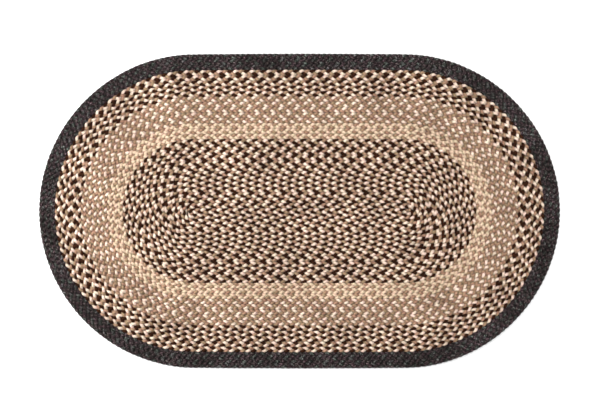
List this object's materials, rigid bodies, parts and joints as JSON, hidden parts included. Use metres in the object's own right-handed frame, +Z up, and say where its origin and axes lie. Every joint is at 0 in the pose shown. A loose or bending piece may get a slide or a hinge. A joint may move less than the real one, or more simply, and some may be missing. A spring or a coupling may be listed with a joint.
{
  "type": "oval braided rug",
  "caption": "Flat oval rug of plaited braid, a straight centre row with oval rounds laced about it: tweed field, light, tan and tweed bands, dark border. Lies on a floor.",
  "frame": {"origin": "under the middle of the rug, on the floor", "axes": "+X along the long axis, +Y across, +Z up from the floor"},
  "size_m": [1.1432, 0.6904, 0.0088],
  "materials": {
    "centre_tweed": "matte plaited yarn, near-black brown, cream and tan strands",
    "light_braid": "matte plaited yarn, two pale strands and one mid tan",
    "tan_braid": "matte plaited yarn, two tan strands and one cream",
    "outer_tweed": "matte plaited yarn, near-black brown, cream and tan strands",
    "dark_braid": "matte plaited charcoal yarn, flecked with lighter plies"
  },
  "bodies": {
    "root": {"centre_field": "centre_tweed", "light_band": "light_braid", "tan_band": "tan_braid", "tweed_band": "outer_tweed", "dark_border": "dark_braid"}
  },
  "joints": []
}
